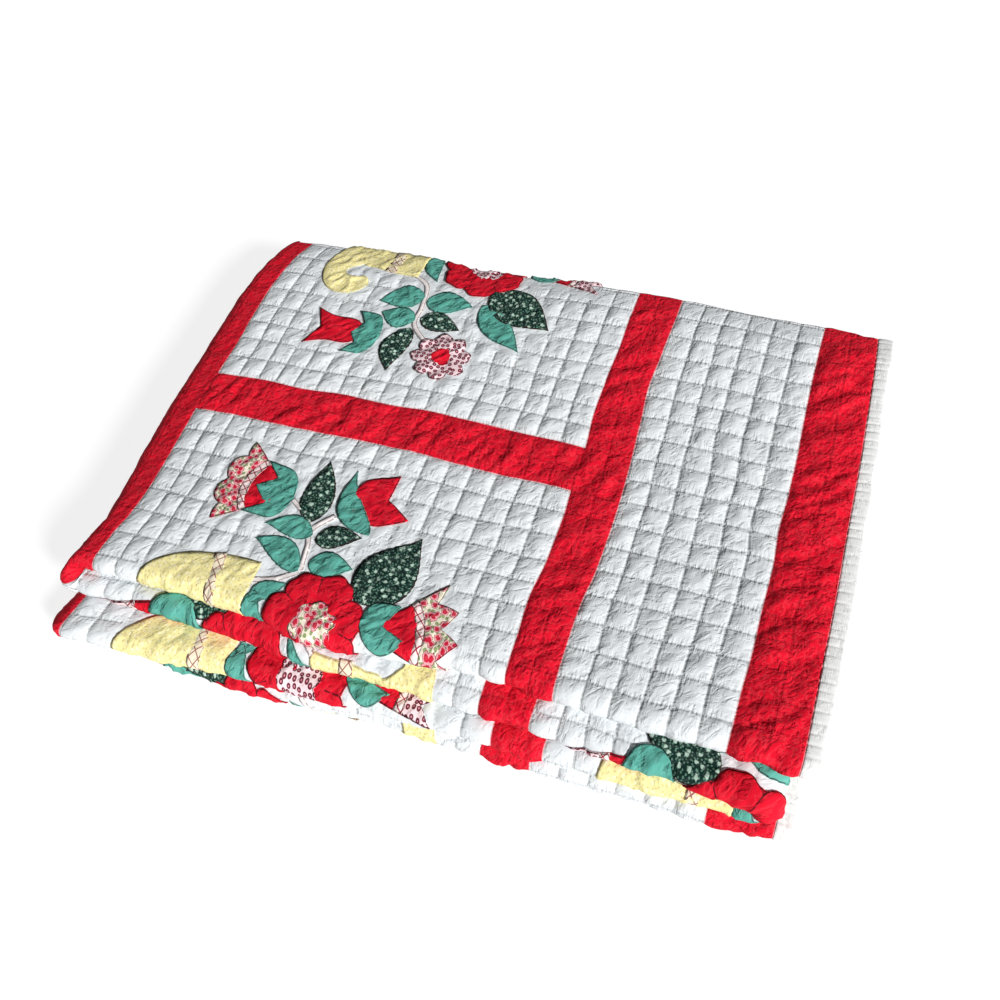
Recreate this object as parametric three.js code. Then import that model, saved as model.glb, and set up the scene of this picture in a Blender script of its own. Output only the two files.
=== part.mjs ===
// A folded bed quilt: one sheet of pieced top, wadding and backing, quilted in a cross hatch, with a
// narrow binding on its four edges. The long sides are folded to the middle of the bed twice, which gives
// a strip of four layers, and the strip is then turned back and forth into a stack of four runs.
// Millimetres. +X is along the strip, -Y is the front of the stack and +Z is up.

import * as THREE from 'three';

// Cloth
const CLOTH = 4.5;
const LAYER_GAP = 1;
const RUN_GAP = 2;
const PUFF = 1.8;
const SEAM_GAP = 0.3;

// Pieced top, from its edge inwards
const BINDING = 12;
const RED_STRIP = 56;
const BORDER = 145;
const SASH = 47;
const BLOCK_WIDE = 410;
const BORDER_COLUMNS = 6;
const BLOCK_COLUMNS = 17;
const ROW = 26.6;
const SASH_ROWS = 2;
const FULL_ROWS = 7;

// Fold of four layers, seen from the end of the strip
const LAYER_PITCH = CLOTH + LAYER_GAP;
const STRIP = 4 * CLOTH + 3 * LAYER_GAP;
const FOLD_DEPTH = 461.7;
const FREE_DEPTH = 468.5;

// Turns of the strip, seen from the front. The ends are the outermost points of each run.
const RUN_PITCH = STRIP + RUN_GAP;
const TURN_REACH = RUN_PITCH / 2 + STRIP / 2;
const RUNS = [
  { run: 'upper', left: -50, right: 660 },
  { run: 'second', left: -50, right: 642 },
  { run: 'third', left: -56, right: 642 },
  { run: 'lower', left: -56, right: 654.5 },
];
const STACK = RUNS.length * RUN_PITCH - RUN_GAP;

// How far each run lies to the front at places along it, because the folds were made by hand
const FRONTS = [
  { x: -40, upper: -14, second: 2, third: 43, lower: 36 },
  { x: 60, upper: -14, second: 2, third: 37.5, lower: 33 },
  { x: 160, upper: -10, second: 5, third: 32.5, lower: 35 },
  { x: 215, upper: 1, second: 12, third: 31.5, lower: 33.5 },
  { x: 290, upper: -3, second: 9.5, third: 30, lower: 29.5 },
  { x: 370, upper: -12, second: 13, third: 29.5, lower: 32 },
  { x: 450, upper: -6, second: 17, third: 29.5, lower: 33 },
  { x: 530, upper: -1.5, second: 20, third: 29, lower: 32.5 },
  { x: 590, upper: -1.5, second: 26, third: 28, lower: 35 },
  { x: 650, upper: 1.5, second: 34, third: 30, lower: 31 },
];

// Unevenness of the stack: the left side is drawn in by the row from the back, and the top is wavy
const LEFT_SIDE = [
  { row: -1, drawnIn: 14 },
  { row: 1.4, drawnIn: 0 },
  { row: 3.5, drawnIn: -4 },
  { row: 10, drawnIn: 2 },
  { row: 15.6, drawnIn: 11 },
  { row: 17.8, drawnIn: 1 },
];
const LEFT_SIDE_WIDTH = 150;
const TOP_WAVES = [
  { rise: 1.6, lengthX: 560, lengthY: 1200, turn: 0.4 },
  { rise: 1.0, lengthX: 400, lengthY: 1600, turn: 2.1 },
];

// Steps of the mesh where the cloth doesn't show
const RUN_STEPS = 6;
const TURN_STEPS = 5;
const FRONT_FOLD_STEPS = 6;
const TIGHT_FOLD_STEPS = 3;

// Rounded outer edge of the binding: distance from the edge and share of the full thickness
const BINDING_ROUND = [
  { inwards: 0, share: 0.45 },
  { inwards: 1.2, share: 0.85 },
  { inwards: 3.5, share: 1 },
  { inwards: BINDING, share: 1 },
];

const WHITE_COTTON = new THREE.MeshStandardMaterial({ color: 0xe8ecee, roughness: 0.9, metalness: 0 });
const WHITE_BINDING = new THREE.MeshStandardMaterial({ color: 0xf1f0ec, roughness: 0.9, metalness: 0 });

// Evenly spaced values from one end to the other, both included
function evenly(from, to, steps) {
  return Array.from({ length: steps + 1 }, (_, i) => from + ((to - from) * i) / steps);
}

// Value in a short table between its rows, on a straight line or on an eased one
function between(table, key, value, at, ease = THREE.MathUtils.mapLinear) {
  const next = table.findIndex((row) => row[key] >= at);
  if (next === 0) return table[0][value];
  if (next < 0) return table.at(-1)[value];
  const before = table[next - 1];
  const after = table[next];
  return ease(at, before[key], after[key], before[value], after[value]);
}

function easeSmoothly(at, from, to, low, high) {
  return THREE.MathUtils.lerp(low, high, THREE.MathUtils.smoothstep(at, from, to));
}

// A line folded back and forth in a plane: straight runs, each at its own level, joined by half circles.
// Its place at a distance holds the normal on the left of the way it goes.
function foldedLine(runs) {
  const spans = [];
  let length = 0;
  runs.forEach((run, i) => {
    const heading = Math.sign(run.to - run.from);
    spans.push({ start: length, size: Math.abs(run.to - run.from), heading, run, index: i });
    length += Math.abs(run.to - run.from);
    const next = runs[i + 1];
    if (next) {
      const radius = Math.abs(next.level - run.level) / 2;
      spans.push({ start: length, size: Math.PI * radius, heading, run, next, radius, index: i });
      length += Math.PI * radius;
    }
  });

  function at(distance) {
    const span = spans.findLast((s) => s.start <= distance + 1e-9);
    const done = (distance - span.start) / span.size;
    const { run, next, heading, radius, index } = span;
    if (!next) {
      const along = THREE.MathUtils.lerp(run.from, run.to, done);
      return { along, level: run.level, normalAlong: 0, normalLevel: heading, index, bend: false };
    }
    const angle = Math.PI * done;
    const rise = Math.sign(next.level - run.level);
    return {
      along: run.to + heading * radius * Math.sin(angle),
      level: (run.level + next.level) / 2 - rise * radius * Math.cos(angle),
      normalAlong: -rise * Math.sin(angle),
      normalLevel: heading * Math.cos(angle),
      index,
      done,
      bend: true,
      bendAt: run.to,
    };
  }

  return { spans, length, at };
}

// Section of the strip from the outer free edge: under the strip to the front, over its top to the back,
// and in again between those two. The pieced face is on the outside.
const layerLevel = (layer) => CLOTH / 2 + layer * LAYER_PITCH;
const section = foldedLine([
  { from: FREE_DEPTH, to: 0, level: layerLevel(0) },
  { from: 0, to: FOLD_DEPTH, level: layerLevel(3) },
  { from: FOLD_DEPTH, to: 0, level: layerLevel(2) },
  { from: 0, to: FREE_DEPTH, level: layerLevel(1) },
]);

// Way of the strip from its upper free end at the right, to and fro and down to its lower free end
const runLevel = (run) => STACK - STRIP / 2 - run * RUN_PITCH;
const [upper, second, third, lower] = RUNS;
const leftTurn = upper.left + TURN_REACH;
const rightTurn = second.right - TURN_REACH;
const lowerTurn = third.left + TURN_REACH;
const way = foldedLine([
  { from: upper.right, to: leftTurn, level: runLevel(0) },
  { from: leftTurn, to: rightTurn, level: runLevel(1) },
  { from: rightTurn, to: lowerTurn, level: runLevel(2) },
  { from: lowerTurn, to: lower.right, level: runLevel(3) },
]);

// How far a place on the way slips to the front: by its own run, or round a turn from one run to the next
function slipAt(place) {
  const slipOf = (index, x) => between(FRONTS, 'x', RUNS[index].run, x, easeSmoothly);
  if (!place.bend) return slipOf(place.index, place.along);
  const start = slipOf(place.index, place.bendAt);
  const end = slipOf(place.index + 1, place.bendAt);
  return THREE.MathUtils.lerp(start, end, THREE.MathUtils.smoothstep(place.done, 0, 1));
}

// Settles a point of the even stack into the uneven one. What lies on the floor stays flat.
function settle(point, rowFromBack) {
  const nearLeft = THREE.MathUtils.clamp(1 - (point.x - upper.left) / LEFT_SIDE_WIDTH, 0, 1.2);
  const height = Math.pow(Math.max(point.z, 0) / STACK, 1.5);
  for (const wave of TOP_WAVES) {
    const acrossX = Math.sin((2 * Math.PI * point.x) / wave.lengthX + wave.turn);
    const acrossY = Math.cos((2 * Math.PI * point.y) / wave.lengthY + wave.turn);
    point.z += height * wave.rise * acrossX * acrossY;
  }
  point.x += nearLeft * between(LEFT_SIDE, 'row', 'drawnIn', rowFromBack);
  return point;
}

// Point of the folded sheet, by its distances along the way and round the section and its offset from the
// middle of the cloth towards the pieced face
function clothPoint(alongWay, roundSection, offset) {
  const place = way.at(alongWay);
  const fold = section.at(roundSection);
  const depth = fold.along + offset * fold.normalAlong;
  const height = fold.level + offset * fold.normalLevel - STRIP / 2;
  const point = new THREE.Vector3(
    place.along - height * place.normalAlong,
    depth - slipAt(place),
    place.level - height * place.normalLevel,
  );
  return settle(point, (FOLD_DEPTH - depth) / ROW);
}

// A closed slab of cloth over a grid of stations: its face, its back and the walls of its four edges.
// A station is a distance and a share of the full thickness. Quilted cells rise to a point in the middle.
function slab(columns, rows, isQuilted = () => false) {
  const points = [];
  const triangles = [];

  function addPoint(column, row, side) {
    const thickness = CLOTH * Math.min(column.share, row.share);
    points.push(clothPoint(column.at, row.at, (side * thickness) / 2));
    return points.length - 1;
  }

  function addQuad(a, b, c, d) {
    triangles.push(a, b, c, a, c, d);
  }

  function addPuff(column, row, ...corners) {
    points.push(clothPoint(column, row, CLOTH / 2 + PUFF));
    const top = points.length - 1;
    corners.forEach((corner, i) => triangles.push(corner, corners[(i + 1) % corners.length], top));
  }

  const face = columns.map((column) => rows.map((row) => addPoint(column, row, 1)));
  const back = columns.map((column) => rows.map((row) => addPoint(column, row, -1)));
  const lastColumn = columns.length - 1;
  const lastRow = rows.length - 1;

  for (let i = 0; i < lastColumn; i += 1) {
    for (let j = 0; j < lastRow; j += 1) {
      const corners = [face[i][j], face[i][j + 1], face[i + 1][j + 1], face[i + 1][j]];
      const middleColumn = (columns[i].at + columns[i + 1].at) / 2;
      const middleRow = (rows[j].at + rows[j + 1].at) / 2;
      if (isQuilted(middleColumn, middleRow)) addPuff(middleColumn, middleRow, ...corners);
      else addQuad(...corners);
      addQuad(back[i][j], back[i + 1][j], back[i + 1][j + 1], back[i][j + 1]);
    }
  }
  for (let j = 0; j < lastRow; j += 1) {
    addQuad(face[0][j], back[0][j], back[0][j + 1], face[0][j + 1]);
    addQuad(face[lastColumn][j], face[lastColumn][j + 1], back[lastColumn][j + 1], back[lastColumn][j]);
  }
  for (let i = 0; i < lastColumn; i += 1) {
    addQuad(face[i][0], face[i + 1][0], back[i + 1][0], back[i][0]);
    addQuad(face[i][lastRow], back[i][lastRow], back[i + 1][lastRow], face[i + 1][lastRow]);
  }

  const geometry = new THREE.BufferGeometry().setFromPoints(points);
  geometry.setIndex(triangles);
  geometry.computeVertexNormals();
  return geometry;
}

// Stations at full thickness, in order and without doubles
function stations(distances) {
  const sorted = [...distances].sort((a, b) => a - b);
  const apart = sorted.filter((at, i) => i === 0 || at - sorted[i - 1] > SEAM_GAP);
  return apart.map((at) => ({ at, share: 1 }));
}

// Stations of a binding at the start or at the end of a line of the given length
const bindingStart = BINDING_ROUND.map(({ inwards, share }) => ({ at: inwards, share }));
const bindingEnd = (length) => BINDING_ROUND.map(({ inwards, share }) => ({ at: length - inwards, share })).reverse();

// Columns of the sheet: the seams and quilting lines of the upper run, then even steps
const [upperSpan, ...laterSpans] = way.spans;
const sheetFrom = BINDING + SEAM_GAP;
const borderFrom = BINDING + RED_STRIP;
const sashFrom = borderFrom + BORDER;
const blockFrom = sashFrom + SASH;
const blockTo = blockFrom + BLOCK_WIDE;
const wayTo = way.length - sheetFrom;
const columnsAt = [
  sheetFrom,
  ...evenly(borderFrom, sashFrom, BORDER_COLUMNS),
  ...evenly(blockFrom, blockTo, BLOCK_COLUMNS),
  upperSpan.size,
];
for (const span of laterSpans) {
  const end = Math.min(span.start + span.size, wayTo);
  columnsAt.push(...evenly(span.start, end, span.next ? TURN_STEPS : RUN_STEPS));
}
const columns = stations(columnsAt);

// Rows of the sheet: the quilting lines of the top layer, outwards from the sash that lies across its
// middle. The hidden layers share the lines by which the left side is drawn in.
const [underSpan, frontSpan, topSpan, backSpan, ...innerSpans] = section.spans;
const quiltedRows = SASH_ROWS + 2 * FULL_ROWS;
const topMiddle = topSpan.start + topSpan.size / 2;
const rowsFrom = topMiddle - (quiltedRows * ROW) / 2;
const rowsTo = topMiddle + (quiltedRows * ROW) / 2;
const sectionTo = section.length - sheetFrom;
const sharedDepths = LEFT_SIDE.map(({ row }) => FOLD_DEPTH - row * ROW);
const hiddenDepths = sharedDepths.filter((depth) => depth > 0 && depth < FOLD_DEPTH);

function layerRows(span) {
  const gone = hiddenDepths.map((depth) => Math.abs(depth - span.run.from));
  return [0, ...gone, span.size].map((distance) => span.start + distance);
}

const rowsAt = [
  ...layerRows(underSpan),
  ...evenly(frontSpan.start, topSpan.start, FRONT_FOLD_STEPS),
  ...evenly(rowsFrom, rowsTo, quiltedRows),
  ...evenly(backSpan.start, backSpan.start + backSpan.size, TIGHT_FOLD_STEPS),
];
for (const span of innerSpans) {
  if (span.next) rowsAt.push(...evenly(span.start, span.start + span.size, TIGHT_FOLD_STEPS));
  else rowsAt.push(...layerRows(span));
}
const rows = stations([sheetFrom, sectionTo, ...rowsAt.filter((at) => at > sheetFrom && at < sectionTo)]);

// White panels of the top layer are quilted in squares, and the red sashes between them are not
function isQuilted(alongWay, roundSection) {
  const onTop = roundSection > topSpan.start && roundSection < backSpan.start;
  const inBorder = alongWay > borderFrom && alongWay < sashFrom;
  const inBlock = alongWay > blockFrom && alongWay < blockTo;
  const inSash = Math.abs(roundSection - topMiddle) < (SASH_ROWS * ROW) / 2;
  return onTop && (inBorder || (inBlock && !inSash));
}

const edgeRows = [...bindingStart.slice(0, -1), ...rows, ...bindingEnd(section.length).slice(1)];
const pieces = [
  { name: 'quilt', material: WHITE_COTTON, geometry: slab(columns, rows, isQuilted) },
  { name: 'binding_upper_end', material: WHITE_BINDING, geometry: slab(bindingStart, edgeRows) },
  { name: 'binding_lower_end', material: WHITE_BINDING, geometry: slab(bindingEnd(way.length), edgeRows) },
  { name: 'binding_outer_side', material: WHITE_BINDING, geometry: slab(columns, bindingStart) },
  { name: 'binding_inner_side', material: WHITE_BINDING, geometry: slab(columns, bindingEnd(section.length)) },
];

const foldedQuilt = new THREE.Group();
for (const { name, material, geometry } of pieces) {
  const mesh = new THREE.Mesh(geometry, material);
  mesh.name = name;
  foldedQuilt.add(mesh);
}

// The origin is under the middle of the stack, on the surface that it lies on
const box = new THREE.Box3().setFromObject(foldedQuilt);
const middle = box.getCenter(new THREE.Vector3());
foldedQuilt.position.set(-middle.x, -middle.y, -box.min.z);

export default foldedQuilt;
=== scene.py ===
# %% [markdown]
# # A folded applique quilt
#
# A bed quilt is three cloths sewn into one: a pieced top, a thin wadding and a backing. This one has white
# blocks with applique flowers, red sashes between them and a white border. It lies folded in four one way
# and in four the other way. The lesson makes the sheet flat, as it was sewn, and then folds it.

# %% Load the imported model
import math

import bmesh
import bpy
import numpy as np
from mathutils import Matrix, Vector


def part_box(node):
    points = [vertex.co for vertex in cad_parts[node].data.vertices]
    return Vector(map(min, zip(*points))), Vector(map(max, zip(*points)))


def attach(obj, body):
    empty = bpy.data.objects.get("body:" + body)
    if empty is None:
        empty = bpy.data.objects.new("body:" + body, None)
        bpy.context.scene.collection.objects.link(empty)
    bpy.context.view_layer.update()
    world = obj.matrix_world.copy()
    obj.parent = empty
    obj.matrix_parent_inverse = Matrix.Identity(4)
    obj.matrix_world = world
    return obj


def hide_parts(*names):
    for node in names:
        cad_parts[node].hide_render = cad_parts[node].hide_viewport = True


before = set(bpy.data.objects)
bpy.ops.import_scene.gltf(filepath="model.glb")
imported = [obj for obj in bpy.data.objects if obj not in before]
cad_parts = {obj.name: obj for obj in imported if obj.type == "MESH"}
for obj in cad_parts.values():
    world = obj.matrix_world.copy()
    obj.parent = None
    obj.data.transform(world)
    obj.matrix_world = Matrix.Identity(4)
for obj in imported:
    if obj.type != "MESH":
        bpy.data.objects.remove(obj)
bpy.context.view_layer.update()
MM = 0.001
print("solids to dress:", sorted(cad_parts))

# %% [markdown]
# ## The sizes of the folded stack
#
# The sizes repeat those of the solids, so that every cloth point lands on the solid it dresses. The strip
# of four layers is made first, by folding the long sides in. Then the strip turns to and fro in four runs.
# Small tables hold what was measured, in millimetres.

# %% Sizes of the cloth and its folds, in metres
CLOTH = 4.5 * MM
LAYER_PITCH = 5.5 * MM
STRIP = 21 * MM
RUN_PITCH = 23 * MM
STACK = 4 * RUN_PITCH - 2 * MM
FOLD_DEPTH = 461.7 * MM
FREE_DEPTH = 468.5 * MM
TURN_REACH = RUN_PITCH / 2 + STRIP / 2


def table(names, *rows):
    """A small table as a list of rows, each with the named columns."""
    return [dict(zip(names.split(), row)) for row in rows]


def column(rows, name, unit=MM):
    """One column of a small table as an array, in metres unless another unit is given."""
    return np.array([row[name] for row in rows], float) * unit


# Outermost points of each run, seen from the front
RUNS = table(
    "run left right",
    ("upper", -50, 660),
    ("second", -50, 642),
    ("third", -56, 642),
    ("lower", -56, 654.5),
)
# How far each run lies to the front at places along it, because the folds were made by hand
FRONTS = table(
    "x upper second third lower",
    (-40, -14, 2, 43, 29),
    (60, -14, 2, 37.5, 31),
    (160, -10, 5, 32.5, 35),
    (215, 1, 12, 31.5, 33.5),
    (290, -3, 9.5, 30, 29.5),
    (370, -12, 13, 29.5, 32),
    (450, -6, 17, 29.5, 33),
    (530, -1.5, 20, 29, 32.5),
    (590, -1.5, 26, 28, 35),
    (650, 1.5, 34, 30, 31),
)
print(f"stack {STACK / MM:.0f} mm high, runs:", [row["run"] for row in RUNS])

# %% [markdown]
# ## A line that is folded back and forth
#
# Both folds are the same kind of line: straight runs at their own levels, joined by half circles. One
# function gives the place and the normal at a distance along such a line, for many distances at once. A
# cloth simulation could fold the sheet too, but sixteen layers would slip, and the seams that show on the
# folds would end up anywhere.

# %% Folded line
def folded_line(stops, levels):
    """A line through stops[0], stops[1], ... whose run i lies at levels[i]."""
    starts, spans = [], []
    length = 0.0
    for i, level in enumerate(levels):
        begin, end = stops[i], stops[i + 1]
        heading = np.sign(end - begin)
        starts.append(length)
        spans.append((i, begin, end, heading, level, 0.0, 0.0, abs(end - begin)))
        length += abs(end - begin)
        if i + 1 < len(levels):
            radius = (levels[i + 1] - level) / 2
            starts.append(length)
            spans.append((i, end, end, heading, level + radius, radius, 1.0, math.pi * abs(radius)))
            length += math.pi * abs(radius)
    starts, spans = np.array(starts), np.array(spans)

    def at(distance):
        k = np.clip(np.searchsorted(starts, distance + 1e-9, side="right") - 1, 0, len(starts) - 1)
        run, begin, end, heading, level, radius, turns, size = spans[k].T
        done = (distance - starts[k]) / size
        angle = np.pi * done * turns
        return {
            "along": begin + (end - begin) * done + heading * np.abs(radius) * np.sin(angle),
            "level": level - radius * np.cos(angle) * turns,
            "normal_along": -np.sign(radius) * np.sin(angle),
            "normal_level": heading * np.cos(angle),
            "run": run.astype(int),
            "done": done,
            "turns": turns > 0,
            "ends_at": end,
        }

    return at, starts, length


layer = CLOTH / 2 + LAYER_PITCH * np.array([0, 3, 2, 1])
section_at, section_starts, SECTION = folded_line([FREE_DEPTH, 0, FOLD_DEPTH, 0, FREE_DEPTH], layer)
left, right = column(RUNS, "left"), column(RUNS, "right")
turns_at = [right[0], left[0] + TURN_REACH, right[1] - TURN_REACH, left[2] + TURN_REACH, right[3]]
run_level = STACK - STRIP / 2 - RUN_PITCH * np.arange(4)
way_at, way_starts, WAY = folded_line(turns_at, run_level)
print(f"section {SECTION:.3f} m round, strip {WAY:.3f} m long")

# %% [markdown]
# ## From the flat sheet to the folded one
#
# A place on the flat sheet is a distance u along the strip and a distance v round its section. Cloth slips
# and bunches in the turns, so a short table says which part of the flat sheet lies in each of them. The runs
# don't lie exactly on each other either: each slips to the front by its own amount.

# %% Runs and turns on the flat sheet
RUN_ENDS = np.array([0, 688, 740, 1365, 1411, 2044, 2079, 2767.5]) * MM
# Places where the cloth has eased along a run: on the sheet, and past the start of a span of the way
EASED = table("sheet span past", (825, 2, 108), (1600, 4, 189), (1800, 4, 398), (1985, 4, 584))
eased_way = [way_starts[row["span"]] + row["past"] * MM for row in EASED]
SHEET_STOPS = np.sort(np.r_[RUN_ENDS, column(EASED, "sheet")])
WAY_STOPS = np.sort(np.r_[way_starts, WAY, eased_way])
WIDTH = RUN_ENDS[-1]
front_x = column(FRONTS, "x")
fronts = np.array([column(FRONTS, row["run"]) for row in RUNS])


def smooth(x):
    """A soft step from 0 to 1 as x goes from 0 to 1."""
    x = np.clip(x, 0, 1)
    return x * x * (3 - 2 * x)


def rounded(x):
    """A rise from 0 to 1 that is steep at first and level from 1 on."""
    return 1 - (1 - np.clip(x, 0, 1)) ** 2


def way_of(u):
    """Distance along the strip for a distance along the flat cloth."""
    return np.interp(u, SHEET_STOPS, WAY_STOPS) + np.minimum(u, 0) + np.maximum(u - WIDTH, 0)


def front_of(run, x):
    """How far a run lies to the front at a place x along it."""
    k = np.clip(np.searchsorted(front_x, x) - 1, 0, len(front_x) - 2)
    share = smooth((x - front_x[k]) / (front_x[k + 1] - front_x[k]))
    return fronts[run, k] + (fronts[run, k + 1] - fronts[run, k]) * share


def slip(place):
    """How far each place on the way lies to the front of the even stack."""
    run, ends_at = place["run"], place["ends_at"]
    below = np.minimum(run + 1, 3)
    turn_from, turn_to = front_of(run, ends_at), front_of(below, ends_at)
    # A turn has reached the place of the run below soon after its middle
    in_turn = turn_from + (turn_to - turn_from) * smooth(1.8 * place["done"])
    return np.where(place["turns"], in_turn, front_of(run, place["along"]))


print(f"{WIDTH:.3f} m of cloth on {WAY:.3f} m of way")

# %% [markdown]
# ## How the stack settles
#
# A folded quilt doesn't stay a box. Its left side is drawn in and its top sinks to a shoulder there, the
# middle of the top is crowned and wavy, and the back bulges out and rolls down. A sculpted lattice could do
# this, but a few soft steps in the fold map keep the layers together, because all of them move alike.

# %% How far the stack settles
ROW = 26.6 * MM
# Rows of quilting count from the back to the front
LEFT_SIDE = table(
    "row drawn_in sunk",
    (-1, 20, 11),
    (0.2, 1, 12),
    (1.4, -7, 13),
    (3.5, -11, 13),
    (10, -7, 14),
    (15.6, 4, 17),
    (17.8, -7, 6),
)
# The free end of the top run bulges to the right in the middle of its length
RIGHT_SIDE = table("row let_out", (-1, 4), (6, 6), (12, 5), (18, 1))
TOP_WAVES = table("rise length_x length_y turn", (1.6, 560, 1200, 0.4), (1.0, 400, 1600, 2.1))
LEFT_SIDE_WIDE, RIGHT_SIDE_WIDE = 150 * MM, 180 * MM
CROWN, CROWN_WIDE = 4.5 * MM, 75 * MM
SHOULDER_WIDE = 27 * MM
LEAN, LEAN_WIDE = 8 * MM, 150 * MM
BACK_ROLL, BACK_ROLL_WIDE = 9 * MM, 80 * MM
BULGE, BULGE_WIDE, BULGE_GROWS = 13 * MM, 120 * MM, 300 * MM
print(f"left side drawn in over {LEFT_SIDE_WIDE / MM:.0f} mm, back rolled over {BACK_ROLL_WIDE / MM:.0f} mm")

# %% Fold map
FRONT_REACH = 1.5 * LAYER_PITCH + CLOTH / 2
upper_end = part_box("binding_upper_end")
stack_y = upper_end[0][1] + FRONT_REACH + fronts[0, -1]
STACK_SHIFT = np.array([upper_end[1][0] - right[0], stack_y, 0.0])


def fold(u, v, offset):
    """Points of the folded cloth, offset from its middle towards the pieced face."""
    place, turn = way_at(way_of(u)), section_at(v)
    depth = turn["along"] + offset * turn["normal_along"]
    height = turn["level"] + offset * turn["normal_level"] - STRIP / 2
    x = place["along"] - height * place["normal_along"]
    y = depth - slip(place)
    z = place["level"] - height * place["normal_level"]
    # Low layers are pressed flat, so the settling grows towards the top
    lift = (np.maximum(z, 0) / STACK) ** 1.5
    for wave in TOP_WAVES:
        across_x = np.sin(2 * np.pi * x / (wave["length_x"] * MM) + wave["turn"])
        across_y = np.cos(2 * np.pi * y / (wave["length_y"] * MM) + wave["turn"])
        z = z + lift * wave["rise"] * MM * across_x * across_y
    from_front = np.minimum(depth + FRONT_REACH, FREE_DEPTH + FRONT_REACH - depth)
    z = z + lift * CROWN * rounded((x - left[0]) / CROWN_WIDE) * rounded(from_front / CROWN_WIDE)
    row = (FOLD_DEPTH - depth) / ROW
    sunk = np.interp(row, column(LEFT_SIDE, "row", 1), column(LEFT_SIDE, "sunk"))
    z = z + lift * sunk * (rounded((x - left[0]) / SHOULDER_WIDE) - 1)
    z = z + lift * LEAN * (rounded((x - left[0]) / LEAN_WIDE) - 1)
    from_back = FOLD_DEPTH + FRONT_REACH - depth
    z = z + lift * BACK_ROLL * (rounded(from_back / BACK_ROLL_WIDE) - 1)
    near_back = np.clip(1 - from_back / BULGE_WIDE, 0, 1)
    y = y + lift**2 * BULGE * near_back * (0.6 + 0.4 * smooth(x / BULGE_GROWS))
    near_left = np.clip(1 - (x - left[0]) / LEFT_SIDE_WIDE, 0, 1.2)
    x = x + near_left * np.interp(row, column(LEFT_SIDE, "row", 1), column(LEFT_SIDE, "drawn_in"))
    near_right = lift**2 * np.clip(1 - (right[0] - x) / RIGHT_SIDE_WIDE, 0, 1)
    x = x + near_right * np.interp(row, column(RIGHT_SIDE, "row", 1), column(RIGHT_SIDE, "let_out"))
    return np.stack([x, y, z], 1) + STACK_SHIFT


corner = fold(np.array([0.0]), np.array([section_starts[2]]), np.array([CLOTH / 2]))[0]
print("front right corner of the top layer:", np.round(corner, 3))

# %% [markdown]
# ## The pieced top
#
# The top is pieced from strips. Going inwards from any edge there is the binding, a red strip, a white
# border, a red sash, and then blocks with a sash between them. The quilting is a cross hatch of squares,
# and its lines are the lines of the mesh, so that every seam and every row of stitches has an edge.

# %% Seams and quilting lines
BINDING, RED_STRIP, BORDER, SASH = 12 * MM, 56 * MM, 145 * MM, 47 * MM
BLOCK_WIDE, BLOCK_COLUMNS = 410 * MM, 17
BLOCK_ROWS, SASH_ROWS = 16, 2
EDGE, STRIP_RED, WHITE_BORDER, RED_SASH, BLOCK = range(5)


def panels(widths):
    """Lines across a row of panels, given as (kind, width, columns), and the kind of each gap."""
    lines, kinds = [0.0], []
    for kind, width, columns in widths:
        lines += list(lines[-1] + width * np.arange(1, columns + 1) / columns)
        kinds += [kind] * columns
    return np.array(lines), np.array(kinds)


def edge_panels(border):
    """Panels from an edge of the quilt inwards, with a white border of the given width."""
    return [(EDGE, BINDING, 1), (STRIP_RED, RED_STRIP, 2), (WHITE_BORDER, border, 6), (RED_SASH, SASH, 2)]


def block_starts(lines, kinds):
    """Where each block begins."""
    before = np.r_[-1, kinds]
    return [line for line, kind, last in zip(lines, kinds, before) if kind == BLOCK != last]


blocks_wide = [(BLOCK, BLOCK_WIDE, BLOCK_COLUMNS), (RED_SASH, SASH, 2)] * 5
last_border = WIDTH - 2 * (BINDING + RED_STRIP + SASH) - BORDER - 5 * BLOCK_WIDE - 4 * SASH
u_lines, u_kinds = panels(edge_panels(BORDER) + blocks_wide[:-1] + edge_panels(last_border)[::-1])

back_fold = (section_starts[3] + section_starts[4]) / 2
block_long, sash_long = BLOCK_ROWS * ROW, SASH_ROWS * ROW
outer_side = back_fold - 1.5 * block_long - sash_long - SASH - BINDING - RED_STRIP
inner_side = SECTION - 2 * back_fold + outer_side
blocks_long = [(BLOCK, block_long, BLOCK_ROWS), (RED_SASH, sash_long, SASH_ROWS)] * 3
v_lines, v_kinds = panels(edge_panels(outer_side) + blocks_long[:-1] + edge_panels(inner_side)[::-1])
BLOCK_U, BLOCK_V = block_starts(u_lines, u_kinds), block_starts(v_lines, v_kinds)
print(f"flat sheet {u_lines[-1]:.3f} by {v_lines[-1]:.3f} m, {len(u_kinds)} by {len(v_kinds)} quilted cells")


# %% Red and white cloth
def is_red(u_kind, v_kind):
    """Whether the cloth is red where these two kinds of panel cross."""
    first = np.minimum(u_kind, v_kind)
    return (first == STRIP_RED) | (first == RED_SASH)


def locate(value, lines):
    """Index of the gap that holds a value, its place in the gap from -1 to 1, and its distance to a line."""
    k = np.clip(np.searchsorted(lines, value + 1e-7, side="right") - 1, 0, len(lines) - 2)
    size = lines[k + 1] - lines[k]
    share = np.clip(2 * (value - lines[k]) / size - 1, -1, 1)
    return k, share, (1 - np.abs(share)) * size / 2


def seam_distance(u, v):
    """Distance to the nearest seam between red and white cloth."""
    kind_u, kind_v = u_kinds[locate(u, u_lines)[0]], v_kinds[locate(v, v_lines)[0]]
    nearest = np.full(u.shape, 1.0)
    for value, lines, kinds, across in ((u, u_lines, u_kinds, kind_v), (v, v_lines, v_kinds, kind_u)):
        for line, before, after in zip(lines[1:-1], kinds, kinds[1:]):
            if before != after:
                changes = is_red(before, across) != is_red(after, across)
                nearest = np.where(changes, np.minimum(nearest, np.abs(value - line)), nearest)
    return nearest


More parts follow.
